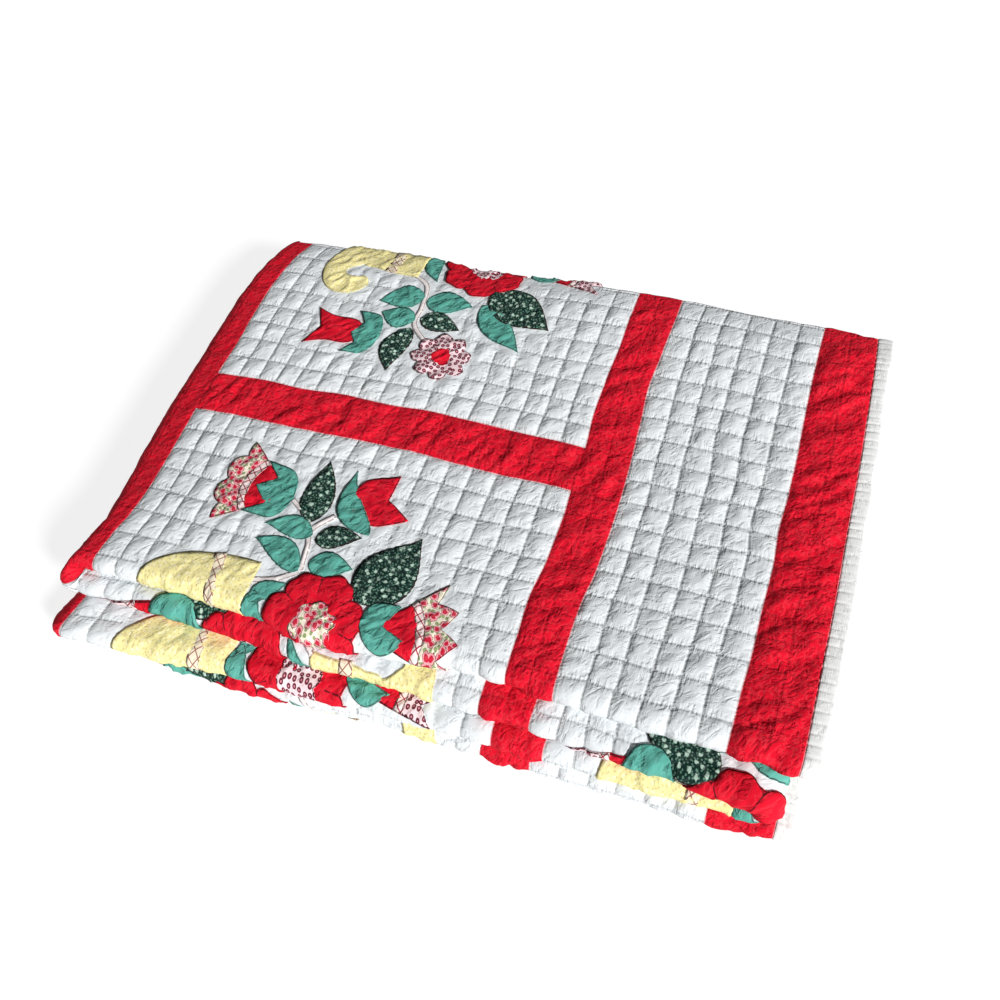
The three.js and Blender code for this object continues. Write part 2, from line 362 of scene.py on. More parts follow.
print(f"{is_red(u_kinds[:, None], v_kinds).mean():.0%} of the quilted cells are red")

# %% [markdown]
# ## What shows of the sheet
#
# Only part of the sheet shows: the top, the rounded fronts and the turns. The mesh is fine there and coarse
# where layers lie on each other, and the puffs of the quilting fade out there, so that layers stay apart.

# %% Places that show, in metres on the flat sheet
turn_u = list(RUN_ENDS[1:-1])
LIP = 60 * MM
FADE = 25 * MM
FRONT = (section_starts[1], section_starts[2])
BACK = (section_starts[3], section_starts[4])
SHOWN = table(
    "place u v",
    ("top and first turn", (0, turn_u[1]), (FRONT[0], BACK[1])),
    ("front of the second run", (turn_u[1], turn_u[2]), (FRONT[0] - LIP, FRONT[1])),
    ("right turn", (turn_u[2], turn_u[3]), (0, FRONT[1])),
    ("front of the third run", (turn_u[3], turn_u[4]), (FRONT[0], FRONT[1] + LIP)),
    ("lower left turn", (turn_u[4], turn_u[5]), (FRONT[0], BACK[1])),
    ("front of the lower run", (turn_u[5], WIDTH), (FRONT[0] - LIP, FRONT[1])),
)


def shown(u, v, fade=0.0):
    """1 where the sheet shows and 0 where it is hidden, with a soft edge outside if a fade is given."""
    best = np.zeros(np.broadcast(u, v).shape)
    for row in SHOWN:
        outside_u = np.maximum(row["u"][0] - u, u - row["u"][1])
        outside_v = np.maximum(row["v"][0] - v, v - row["v"][1])
        outside = np.maximum(outside_u, outside_v)
        inside = outside <= 0 if fade == 0 else 1 - smooth(outside / fade)
        best = np.maximum(best, inside)
    return best


print(f"{shown(u_lines[:, None], v_lines).mean():.0%} of the sheet shows")

# %% [markdown]
# ## The applique bouquet
#
# Each block carries the same bouquet: a curled horn, a rose, tulips, a daisy, leaves and stems, each cut
# from its own fabric and sewn on. It is made once, flat, in millimetres from the left edge of its block and
# from the middle of it, and every block takes a copy. Five kinds of outline are enough: a band along a curve,
# a leaf between two points, a cup on a stem, a fan in front of a centre, and a flower round a centre.
#
# An outline starts as a small grid, and its points move to the shape. The third coordinate of the flat patch
# holds the distance to its edge, which later shapes its rounded rim and its stitched outline.

# %% A flat patch
class FlatPatch:
    """A flat patch in the millimetres of its block: points with their edge distance, faces and fabric."""

    def __init__(self, outline, fabric, level, *settings):
        bm = bmesh.new()
        outline(bm, *settings)
        bmesh.ops.remove_doubles(bm, verts=bm.verts, dist=0.02)
        bmesh.ops.recalc_face_normals(bm, faces=bm.faces)
        if sum(f.normal.z for f in bm.faces) < 0:
            bmesh.ops.reverse_faces(bm, faces=bm.faces)
        bm.verts.index_update()
        self.points = np.array([v.co for v in bm.verts])
        self.faces = [[v.index for v in f.verts] for f in bm.faces]
        self.fabric, self.level = fabric, level
        self.swings = isinstance(settings[0], dict) and settings[0].get("swings", False)
        bm.free()


def grid(bm, long, across):
    """A grid whose points run from 0 to 1 along x and from -1 to 1 across y."""
    made = bmesh.ops.create_grid(bm, x_segments=long, y_segments=across, size=1)
    for vert in made["verts"]:
        vert.co.x = (vert.co.x + 1) / 2
    return made["verts"]


bouquet = []
print("a block is", round(BLOCK_WIDE / MM), "by", round(block_long / MM), "mm")

# %% [markdown]
# ### Stems
#
# A stem is a narrow folded strip. It is a band that follows a smooth curve through a few points, with a width
# at each of them. A Bezier curve would do it too, but this way the points keep their place along the band
# and across it. The horn uses the same band further down.

# %% Stems, as bands along a curve
STEMS = [
    [(199, 62, 6), (196, 86, 6), (193, 104, 6), (209, 124, 6)],
    [(158, 38, 6), (178, 46, 6), (198, 60, 6)],
    [(160, 132, 6), (180, 118, 6), (194, 98, 6)],
    [(156, -16, 6), (176, -32, 6), (182, -62, 6), (184, -88, 6), (206, -112, 6)],
]
AHEAD = 0.01
# Share of a band that its round tip takes
TIP = 0.14
# Ends count as further off than they are, so that their stitched line stays narrow
ENDS_OFF = 400


def curve(knots, s):
    """A point of the smooth curve through the knots, at a share s of its way."""
    place = s * (len(knots) - 1)
    i = min(int(place), len(knots) - 2)
    f = place - i
    a, b = knots[max(i - 1, 0)], knots[i]
    c, d = knots[i + 1], knots[min(i + 2, len(knots) - 1)]
    return b + 0.5 * f * (c - a + f * (2 * a - 5 * b + 4 * c - d + f * (3 * (b - c) + d - a)))


def band(bm, points, long=24, across=6, closed_tip=False):
    """A band along a smooth curve through points of (x, y, width), whose far end can be rounded."""
    knots = np.array(points, float)
    for vert in grid(bm, long, across):
        s, t = vert.co.x, vert.co.y
        here, ahead = curve(knots, s), curve(knots, min(s + AHEAD, 1))
        if s > 1 - AHEAD:
            here, ahead = curve(knots, s - AHEAD), curve(knots, s)
        way = Vector((ahead - here)[:2]).normalized()
        middle = curve(knots, s)
        half = middle[2] / 2
        if closed_tip:
            half *= math.sqrt(max(1 - max((s - 1) / TIP + 1, 0) ** 2, 0.0))
        spot = Vector(middle[:2]) + Vector((-way.y, way.x)) * half * t
        rim = half * (1 - abs(t))
        vert.co = (spot.x, spot.y, min(rim, ENDS_OFF * s, ENDS_OFF * (1 - s)))


bouquet += [FlatPatch(band, "stem", 0, points) for points in STEMS]
print(len(bouquet), "stems")

# %% [markdown]
# ### Leaves
#
# A leaf is widest nearer to its base and has a drawn-out tip. Its bow is how far it bends to its left, in
# shares of its length. Its edge puckers a little where it is sewn down. It could be cut from a plane with a
# knife, but a grid that is moved to the shape has even faces, which fold well.

# %% Leaves
LEAVES = table(
    "fabric base tip width bow level",
    ("dark", (187, 110), (181, 181), 33, 0, 1),
    ("teal", (196, 100), (144, 98), 26, -0.3, 1),
    ("teal", (197, 61), (142, 80), 28, -0.4, 1),
    ("dark", (200, 95), (243, 107), 25, 0.2, 1),
    ("teal", (204, 70), (248, 74), 28, 0.1, 1),
    ("dark", (263, 45), (297, 125), 55, -0.15, 1),
    ("teal", (247, 111), (211, 176), 25, 0.72, 2),
    ("teal", (164, 20), (193, 46), 18, 0.3, 1),
    ("teal", (166, 30), (185, -24), 20, -0.4, 1),
    ("teal", (180, -47), (130, -64), 34, -0.2, 1),
    ("teal", (182, -82), (139, -77), 28, 0.1, 1),
    ("teal", (184, -54), (238, -51), 33, 0.1, 1),
    ("dark", (187, -78), (236, -87), 27, 0.1, 1),
    ("dark", (182, -94), (180, -162), 32, -0.4, 1),
    ("teal", (248, -46), (308, -100), 34, -0.1, 1),
    ("dark", (250, -26), (330, -64), 49, 0.1, 2),
)
PUCKER = 0.025
# Largest value of the leaf's curve, which stands for its full width
LEAF_PEAK = 0.273


def leaf(bm, row):
    """A leaf between two points."""
    base, tip = Vector(row["base"]), Vector(row["tip"])
    along = tip - base
    side = Vector((-along.y, along.x)).normalized()
    for vert in grid(bm, 28, 10):
        s, t = vert.co.x, vert.co.y
        half = row["width"] / 2 * s**0.75 * (1 - s) ** 1.2 / LEAF_PEAK
        half *= 1 + PUCKER * math.sin(s * along.length)
        bow = row["bow"] * along.length * s * (1 - s)
        flat = base + along * s + side * (half * t + bow)
        vert.co = (flat.x, flat.y, min(half * (1 - abs(t)), along.length * min(s, 1 - s)))


bouquet += [FlatPatch(leaf, row["fabric"], row["level"], row) for row in LEAVES]
print(len(LEAVES), "leaves")

# %% [markdown]
# ### The horn
#
# The horn is a broad band with a curled tail that ends round, and a stitched trim crosses it near its mouth.
# It could be a filled outline, but a band keeps rows of faces across it, which the folds need.

# %% The horn and its trim
HORN = [(160, 19, 76), (128, 20, 74), (98, 19, 66), (71, 7, 52)]
HORN += [(58, -20, 32), (66, -42, 28), (87, -47, 28), (104, -35, 25)]
HORN_BAND = [(119, 57, 13), (126, 18, 13), (124, -18, 13)]
bouquet.append(FlatPatch(band, "yellow", 1, HORN, 80, 16, True))
bouquet.append(FlatPatch(band, "trim", 2, HORN_BAND, 24, 5))
print(len(bouquet[-2].faces), "faces in the horn")

# %% [markdown]
# ### Buds and tulips
#
# A bud or calyx is round at the stem, drawn in at the waist and cut into points at the mouth. A tulip stands
# in such a cup: a red ring piece, a stitched tape across it and a fan of petals in front. Each could be drawn
# point by point, but a few named measures give all of them from two functions. On some blocks the tulip by
# the rose swings to another angle, so its pieces are marked.

# %% Cups
CUPS = table(
    "fabric at turn long wide notches cut waist level swings",
    ("red", (219, 137), 28, 50, 50, 1, 0.3, -0.1, 1, False),
    ("red", (130, -112), 181, 60, 56, 1, 0.2, 0.34, 1, False),
    ("teal", (153, -112), 181, 35, 62, 2, 0.3, 0, 2, False),
    ("teal", (161, 133), 177, 44, 62, 2, 0.4, 0, 3, False),
    ("teal", (276, 22), 22, 38, 36, 1, 0.45, -0.3, 4, True),
)


def zigzag(t, notches):
    """0 at the points and 1 in the notches between them, as t goes from -1 to 1."""
    return 1 - abs(2 * ((t + 1) / 2 * notches % 1) - 1)


def cup(bm, row):
    """A bud or calyx that is round at its stem and cut into points at its mouth."""
    turn = math.radians(row["turn"])
    ahead, side = Vector((math.cos(turn), math.sin(turn))), Vector((-math.sin(turn), math.cos(turn)))
    for vert in grid(bm, 14, 20):
        s, t = vert.co.x, vert.co.y
        long = row["long"] * (1 - row["cut"] * zigzag(t, row["notches"]))
        half = row["wide"] / 2 * math.sqrt(rounded(s / 0.45)) * (1 - row["waist"] * math.sin(math.pi * s))
        flat = Vector(row["at"]) + ahead * long * s + side * half * t
        vert.co = (flat.x, flat.y, min(half * (1 - abs(t)), long * (1 - s)))


bouquet += [FlatPatch(cup, row["fabric"], row["level"], row) for row in CUPS]
print(len(CUPS), "cups")

# %% Tulips
TULIPS = table(
    "at turn spread petals depth tips tape reach swings",
    ((160, 133), 177, 35, 3, 0.3, False, 51, 84, False),
    ((274, 20), 16, 29, 3, 0.5, True, 55, 91, True),
)
FANS = []
for tulip in TULIPS:
    tape = tulip["tape"]
    parts = [
        {"fabric": "print", "from": tape + 3, "to": tulip["reach"], "level": 1},
        {"fabric": "red", "from": 14, "to": tape, "petals": 0, "depth": 0, "level": 1},
        {"fabric": "lace", "from": tape - 4, "to": tape + 5, "petals": 0, "depth": 0, "level": 2},
    ]
    FANS += [{**tulip, **part} for part in parts]


def fan(bm, row):
    """A piece of a ring in front of a centre, with pointed or round petals on its outer edge."""
    x, y = row["at"]
    deep = row["to"] - row["from"]
    for vert in grid(bm, 9, 30):
        s, t = vert.co.x, vert.co.y
        notch = 1 - abs(math.cos(math.pi * row["petals"] * (t + 1) / 2)) ** 0.8
        if row["tips"]:
            notch = zigzag(t, row["petals"])
        petal = 1 - row["depth"] * notch
        angle = math.radians(row["turn"] + row["spread"] * t)
        reach = row["from"] + deep * petal * s
        rim = math.radians(row["spread"]) * (1 - abs(t)) * reach
        edge = min(deep * s, deep * petal * (1 - s), rim)
        vert.co = (x + reach * math.cos(angle), y + reach * math.sin(angle), edge)


bouquet += [FlatPatch(fan, row["fabric"], row["level"], row) for row in FANS]
print(len(FANS), "pieces in", len(TULIPS), "tulips")

# %% [markdown]
# ### Rose and daisy
#
# A flower is a disc with rounded lobes. Its grid is bent round into rings, because a filled circle would have
# long thin faces that don't fold. A spin makes such rings too, but leaves its points in an order that changes
# from run to run. On the rose a stitched seam runs in from each notch, so the distance to the edge is taken
# from those seams as well.

# %% Flowers
FLOWERS = table(
    "fabric at radius lobes depth turn level seams",
    ("red", (230, 15), 51, 7, 0.07, 71, 3, True),
    ("print", (232, 14), 23, 6, 0.1, 20, 4, False),
    ("pink", (229, -127), 33, 8, 0.12, 12, 2, False),
    ("red", (229, -127), 13, 6, 0.04, 0, 3, False),
)
RINGS, STEPS_PER_LOBE = 12, 16
# The hand-cut edge is a little uneven: how deep, in shares of the radius, and how many waves
UNEVEN, UNEVEN_WAVES = 0.018, 17


def flower(bm, row):
    """A disc with rounded lobes round a centre."""
    x, y = row["at"]
    for vert in grid(bm, RINGS, STEPS_PER_LOBE * row["lobes"]):
        share = vert.co.x
        # The first ring is the centre, a single point
        angle = math.pi * vert.co.y if share > 0 else 0
        wave = abs(math.cos(row["lobes"] * angle / 2))
        uneven = UNEVEN * math.sin(UNEVEN_WAVES * angle)
        radius = row["radius"] * (1 - 2 * row["depth"] * (1 - wave**0.8) + uneven)
        edge = radius * (1 - share)
        reach = radius * share
        if row["seams"] and share > 0.6:
            edge = min(edge, 0.9 + reach * 2 / row["lobes"] * math.asin(wave))
        turned = angle + math.radians(row["turn"])
        vert.co = (x + reach * math.cos(turned), y + reach * math.sin(turned), edge)


bouquet += [FlatPatch(flower, row["fabric"], row["level"], row) for row in FLOWERS]
print(len(bouquet), "patches and", sum(len(p.faces) for p in bouquet), "faces in a bouquet")

# %% [markdown]
# ## The cloth under the patches
#
# The cross hatch stops at the patches: the cloth under a flower is smooth, and it dips along the edge where
# the flower is sewn down. A small raster of the covered cloth, made from the bouquet, says where that is. A
# ray cast at the patches would say it too, but the raster can be softened and read for many points at once.

# %% Raster of the covered cloth
CELL = 2.0
cover = np.zeros((int(block_long / MM / CELL) + 1, int(BLOCK_WIDE / MM / CELL) + 1))
middle_row = (cover.shape[0] - 1) / 2
quarters = [(a, b) for a in np.linspace(0, 1, 4) for b in np.linspace(0, 1, 4)]
for patch in bouquet:
    for face in patch.faces:
        corners = patch.points[face]
        for a, b in quarters:
            edge_1 = corners[0] + (corners[1] - corners[0]) * a
            edge_2 = corners[-1] + (corners[-2] - corners[-1]) * a
            x, y, _ = edge_1 + (edge_2 - edge_1) * b
            i, j = int(round(y / CELL + middle_row)), int(round(x / CELL))
            if 0 <= i < cover.shape[0] and 0 <= j < cover.shape[1]:
                cover[i, j] = 1
around = [(a, b) for a in (-1, 0, 1) for b in (-1, 0, 1)]
for _ in range(3):
    padded = np.pad(cover, 1)
    cover = sum(np.roll(np.roll(padded, a, 0), b, 1)[1:-1, 1:-1] for a, b in around) / 9
print(f"{cover.mean():.0%} of a block is covered")

# %% Covered cloth on the sheet
# How far the bouquets of each row of blocks lie to the right and back of their place, in millimetres
BOUQUET_AT = [(0, 0), (5, -12), (0, 0)]


def sample(raster, x, y):
    """A raster read between its points."""
    x = np.clip(x, 0, raster.shape[1] - 1.001)
    y = np.clip(y, 0, raster.shape[0] - 1.001)
    i, j = y.astype(int), x.astype(int)
    fy, fx = y - i, x - j
    low = raster[i, j] * (1 - fx) + raster[i, j + 1] * fx
    high = raster[i + 1, j] * (1 - fx) + raster[i + 1, j + 1] * fx
    return low * (1 - fy) + high * fy


def covered(u, v):
    """How far the cloth is covered by patches, from 0 to 1."""
    total = np.zeros(u.shape)
    for block_u in BLOCK_U:
        for block_v, (right_by, back_by) in zip(BLOCK_V, BOUQUET_AT):
            x = ((block_u + BLOCK_WIDE - u) / MM - right_by) / CELL
            y = ((v - block_v) / MM - back_by) / CELL
            here = (x > 0) & (x < cover.shape[1] - 1) & (y > 0) & (y < cover.shape[0] - 1)
            total = np.where(here, sample(cover, x, y), total)
    return total


print(len(BLOCK_U) * len(BLOCK_V), "blocks on the sheet")

# %% [markdown]
# ## The relief of the quilting
#
# Quilted cotton is never flat. Each square is a small pillow between its stitches, seams sink in, and the
# washed cloth crinkles. The red strips and sashes were sewn in full, so they gather into folds, which are
# calm at their seams and where they turn. The relief is one height for each place of the flat sheet, so that
# the patches can lie on the same ground, and it is calm at the back fold too.

# %% Noise and gathers
# The noise repeats after this many bumps
LATTICE = (97, 89)


def noise(u, v, size, seed):
    """Soft noise from -1 to 1 with bumps of the given size."""
    lattice = np.random.default_rng(seed).uniform(-1, 1, LATTICE)
    x, y = u / size, v / size
    i, j = np.floor(y).astype(int), np.floor(x).astype(int)
    fy, fx = smooth(y - i), smooth(x - j)
    pick = lambda a, b: lattice[(i + a) % LATTICE[0], (j + b) % LATTICE[1]]
    low = pick(0, 0) * (1 - fx) + pick(0, 1) * fx
    high = pick(1, 0) * (1 - fx) + pick(1, 1) * fx
    return low * (1 - fy) + high * fy


STRIP_GATHERS, SASH_GATHERS = 8, 6
CALM_TURN = 30 * MM


def gathers(u, v, kind_u, kind_v):
    """Folds across a red strip or sash, in millimetres, calm in the turns on the left."""
    runs_back = kind_u < kind_v
    along, across = np.where(runs_back, v, u), np.where(runs_back, u, v)
    folds = np.minimum(np.abs(noise(0.3 * across, along + 0.5 * across, 14 * MM, 8)), 0.5)
    folds = folds + 0.35 * np.abs(noise(0.7 * across, along - 0.3 * across, 9 * MM, 9))
    for first, last in (turn_u[:2], turn_u[4:]):
        from_turn = np.abs(u - (first + last) / 2)
        folds = folds * (0.3 + 0.7 * smooth((from_turn - CALM_TURN) / CALM_TURN))
    strip = (kind_u == STRIP_RED) | (kind_v == STRIP_RED)
    return np.where(strip, STRIP_GATHERS, SASH_GATHERS) * (folds - 0.2)


trial = noise(np.linspace(0, 1, 500), np.zeros(500), 9 * MM, 3)
print(f"noise from {trial.min():.2f} to {trial.max():.2f}")

# %% Relief
PUFF = 1.9 * MM
STITCH_WIDE, SEAM_WIDE, SEAM_CALM = 1.8 * MM, 2.6 * MM, 11 * MM
rng = np.random.default_rng(7)
cell_puff = rng.uniform(0.7, 1.25, (len(v_kinds), len(u_kinds)))
cell_tilt = rng.uniform(-0.5, 0.5, (2, len(v_kinds), len(u_kinds)))


def relief(u, v):
    """Height of the face above the even cloth."""
    i, a, from_u = locate(u, u_lines)
    j, b, from_v = locate(v, v_lines)
    patched = smooth(covered(u, v) * 1.3 - 0.15)
    pillow = (1 - np.abs(a) ** 2.2) * (1 - np.abs(b) ** 2.2) * cell_puff[j, i]
    pillow = pillow * (1 + cell_tilt[0, j, i] * a + cell_tilt[1, j, i] * b)
    stitch = np.exp(-((np.minimum(from_u, from_v) / STITCH_WIDE) ** 2))
    crumple = 1 - 2.4 * np.abs(noise(0.7 * (u + v), 0.35 * (v - u), 9 * MM, 3)) + noise(u, v, 8 * MM, 4)
    white = PUFF * pillow + 0.5 * MM * crumple * (1 - stitch) - 0.3 * MM * stitch
    sewn = 0.7 * MM + 0.3 * MM * noise(u, v, 14 * MM, 6) - 1.2 * MM * patched * (1 - patched)
    white = white * (1 - patched) + sewn * patched
    from_seam = seam_distance(u, v)
    gathered = gathers(u, v, u_kinds[i], v_kinds[j]) * (0.4 + 0.6 * smooth(from_seam / SEAM_CALM))
    height = np.where(is_red(u_kinds[i], v_kinds[j]), (0.5 * crumple + gathered) * MM, white)
    seam = np.exp(-((from_seam / SEAM_WIDE) ** 2))
    height = height * (1 - 0.7 * seam) - 0.4 * MM * seam
    height = height * (1 - 0.75 * smooth((v - BACK[0]) / (30 * MM) + 1))
    return height * (0.1 + 0.9 * shown(u, v, FADE))


trial = relief(np.linspace(0, turn_u[0], 500), np.full(500, FRONT[1] + 5 * ROW))
print(f"relief of one row from {trial.min() / MM:.1f} to {trial.max() / MM:.1f} mm")

# %% [markdown]
# ## Cloth that slides
#
# Seams on a real quilt are never quite straight: the cloth slides and stretches in its own plane. So each
# place wanders a little before it is folded. At the front the pattern has crept round the fold by a measured
# amount, and the left sash is pulled up on to the top, except at its front end.

# %% Creep and wander
PULLED = table(
    "sheet pulled",
    (740, 10),
    (1060, 8),
    (1190, 12),
    (1365, 12),
    (1411, -6),
    (1470, 0),
    (2060, 0),
    (2079, 17),
    (2400, 22),
    (2460, 22),
    (2540, 0),
)
SASH_PULL, SASH_PULL_WIDE = 10, 120 * MM
LEFT_SEAM = BLOCK_U[0] + BLOCK_WIDE
STILL_EDGE = 60 * MM


def creep(u):
    """How far the pattern has crept round the front fold. On top it stays straight where the fold doesn't."""
    place = way_at(way_of(u))
    straight = np.interp(place["along"], [left[0], right[0]], [-4.4 * MM, 6 * MM])
    on_top = (slip(place) - straight) * (1 - smooth((u - turn_u[0]) / (turn_u[1] - turn_u[0])))
    pulled = np.interp(u, column(PULLED, "sheet"), column(PULLED, "pulled"))
    return np.where(place["run"] == 0, on_top, pulled)


def wander(u, v):
    """The flat place after the cloth has slid and stretched a little in its own plane."""
    ends = smooth(np.minimum(u, WIDTH - u) / STILL_EDGE) * smooth(np.minimum(v, SECTION - v) / STILL_EDGE)
    shift_u = 3.2 * noise(u, v, 170 * MM, 11) + 2 * noise(u, v, 44 * MM, 12)
    shift_v = 3.6 * noise(u, v, 190 * MM, 13) + 2.1 * noise(u, v, 47 * MM, 14)
    near_seam = smooth(1 - np.abs(u - LEFT_SEAM) / SASH_PULL_WIDE)
    # The pull grows over four rows, from the second row at the front
    near_front = (FRONT[1] + 5 * ROW - v) / (4 * ROW)
    shift_u = shift_u - SASH_PULL * near_seam * (1 - smooth(near_front))
    return u + shift_u * MM * ends, v + (shift_v * MM + creep(u)) * ends


def on_face(u, v, above=0.0):
    """Points on the face of the folded quilt, raised above its relief."""
    return fold(*wander(u, v), CLOTH / 2 + relief(u, v) + above)


moved = wander(np.array([LEFT_SEAM]), np.array([FRONT[1] + 10 * ROW]))[0] - LEFT_SEAM
print(f"the left seam moves {moved[0] / MM:.1f} mm")

# %% [markdown]
# ## The quilt
#
# The sheet starts as a flat grid on the seams and quilting lines. Edges that show are halved until they are
# about four millimetres long, a plain grid makes the backing, and a bridge between the two rims closes the
# sheet. Only then is it folded. Solidify could thicken it, but it would double all the fine faces.

# %% Lines of the mesh
FINE = 4.2 * MM
RIM_GAP = 1.0 * MM
SEAM_GAP = 0.3 * MM
rim = BINDING + SEAM_GAP


def mesh_lines(lines, extra, low, high):
    """Pattern lines and extra lines in order, where no extra line lies close to a pattern line."""
    kept = [value for value in extra if np.abs(lines - value).min() > 1.2 * MM]
    inside = [value for value in [*lines, *kept] if low + RIM_GAP / 2 < value < high - RIM_GAP / 2]
    return np.array(sorted({low, low + RIM_GAP, high - RIM_GAP, high, *inside}))


turn_lines = [line for a, b in zip(turn_u[::2], turn_u[1::2]) for line in np.linspace(a, b, 13)]
fold_lines = np.r_[np.linspace(*FRONT, 17), np.linspace(*BACK, 7), np.linspace(*section_starts[5:7], 6)]
mesh_u = mesh_lines(u_lines, turn_lines, rim, WIDTH - rim)
mesh_v = mesh_lines(v_lines, fold_lines, rim, SECTION - rim)
print(len(mesh_u), "by", len(mesh_v), "lines")


# %% Flat sheet
def flat_grid(bm, across_u, across_v, level):
    """A flat grid of faces on the given lines."""
    count_u, count_v = len(across_u) - 1, len(across_v) - 1
    made = bmesh.ops.create_grid(bm, x_segments=count_u, y_segments=count_v, size=1)
    for vert in made["verts"]:
        i, j = round((vert.co.x + 1) / 2 * count_u), round((vert.co.y + 1) / 2 * count_v)
        vert.co = (across_u[i], across_v[j], level)


bm = bmesh.new()
flat_grid(bm, mesh_u, mesh_v, 0)
for face in bm.faces:
    middle = face.calc_center_median()
    kind_u = u_kinds[locate(np.array([middle.x]), u_lines)[0][0]]
    kind_v = v_kinds[locate(np.array([middle.y]), v_lines)[0][0]]
    face.material_index = int(is_red(kind_u, kind_v))
for halving in range(4):
    middle_u, middle_v, _ = np.array([face.calc_center_median() for face in bm.faces]).T
    fine = shown(middle_u, middle_v) > 0
    fine &= (middle_u > mesh_u[1]) & (middle_u < mesh_u[-2]) & (middle_v > mesh_v[1])
    bm.faces.index_update()
    long_edges = [e for e in bm.edges if e.calc_length() > FINE and any(fine[f.index] for f in e.link_faces)]
    if long_edges:
        bmesh.ops.subdivide_edges(bm, edges=long_edges, cuts=1, use_grid_fill=True)
print(len(bm.faces), "faces on the pieced top")

# %% Backing and rim
flat_grid(bm, mesh_u, mesh_v, -1)
rims = [edge for edge in bm.edges if edge.is_boundary]
bmesh.ops.bridge_loops(bm, edges=rims)
bmesh.ops.recalc_face_normals(bm, faces=bm.faces)
bmesh.ops.reverse_faces(bm, faces=bm.faces)
print(len(rims), "edges joined round the rim")


# %% Folded points, and what the cotton has to know of its stitches
def flat_mesh(name, made):
    """A mesh from a flat bmesh, with its flat places as its UV map, and those places as an array."""
    mesh = bpy.data.meshes.new(name)
    made.to_mesh(mesh)
    made.free()
    flat = np.empty(len(mesh.vertices) * 3)
    mesh.vertices.foreach_get("co", flat)
    flat = flat.reshape(-1, 3)
    corner_verts = np.empty(len(mesh.loops), int)
    mesh.loops.foreach_get("vertex_index", corner_verts)
    mesh.uv_layers.new(name="flat").uv.foreach_set("vector", flat[corner_verts, :2].ravel())
    return mesh, flat


def point_attribute(mesh, name, values):
    """A number for each point of a mesh, for the materials to read."""
    mesh.attributes.new(name, "FLOAT", "POINT").data.foreach_set("value", values.astype(np.float32))


PUCKER_REACH = 4.5 * MM
quilt_mesh, flat = flat_mesh("quilt_sheet", bm)
u, v, is_face = flat[:, 0], flat[:, 1], flat[:, 2] > -0.5
under = fold(*wander(u, v), np.full(len(u), -CLOTH / 2))
quilt_points = np.where(is_face[:, None], on_face(u, v), under)
near_u, near_v = locate(u, u_lines)[2], locate(v, v_lines)[2]
hidden_by_patch = smooth(covered(u, v) * 3)
point_attribute(quilt_mesh, "stitch", np.minimum(near_u, near_v) + hidden_by_patch)
point_attribute(quilt_mesh, "seam", seam_distance(u, v))
for name, near in (("pucker_u", near_u), ("pucker_v", near_v)):
    point_attribute(quilt_mesh, name, np.exp(-near / PUCKER_REACH) * (1 - hidden_by_patch))
print(f"folded quilt {np.ptp(quilt_points[:, 0]):.3f} by {np.ptp(quilt_points[:, 1]):.3f} m")

# %% [markdown]
# ## Cotton and its prints
#
# Every fabric here is plain woven cotton that has been washed: matt, a little fuzzy, with a weave and fine
# crinkles. One function makes that cotton, and a print is only another ground that is handed to it. Patterns
# read the UV map, which holds the flat places in metres, so that weave and prints follow the folds. Object
# coordinates would cut straight through them.

# %% Colours, and a node with its links
SOFT = {"interpolation_type": "SMOOTHSTEP"}
COLOURS = {"output": 2, "data_type": "RGBA"}


def linear(hex_colour):
    """Linear colour from an sRGB hex value."""
    parts = [int(hex_colour[i : i + 2], 16) / 255 for i in (1, 3, 5)]
    return [p / 12.92 if p <= 0.04045 else ((p + 0.055) / 1.055) ** 2.4 for p in parts] + [1.0]


def add(tree, kind, inputs=None, output=0, **settings):
    """One output of a new node that has its settings, its input values and the links to its inputs."""
    made = tree.nodes.new("ShaderNode" + kind)
    for name, value in settings.items():
        setattr(made, name, value)
    for key, value in (inputs or {}).items():
        if isinstance(value, bpy.types.NodeSocket):
            tree.links.new(value, made.inputs[key])
        else:
            made.inputs[key].default_value = value
    return made.outputs[output]


STITCH_DARK = linear("#35131A")
# Painted highlight: a pale pink line along the seams between red and white cloth
SEAM_HIGHLIGHT = linear("#F3CDD0")
WHITE, BLACK = linear("#FFFFFF"), linear("#000000")
print("dark thread in linear light:", np.round(STITCH_DARK[:3], 3))


# %% Bumps of cotton
# Threads of quilting cotton lie about 0.3 mm apart, too fine to show, so they are drawn coarser
WEAVE = 1.7756 * MM
# At a scale of 1, a wave texture repeats after this length
WAVE_REPEATS = math.pi / 10
# Puckers beside the stitches are narrow along the row and reach out from it
PLEAT_LONG, PLEAT_WIDE = 13 * MM, 2.6 * MM
PUCKERS = {"pucker_u": (1 / PLEAT_LONG, 1 / PLEAT_WIDE, 1), "pucker_v": (1 / PLEAT_WIDE, 1 / PLEAT_LONG, 1)}


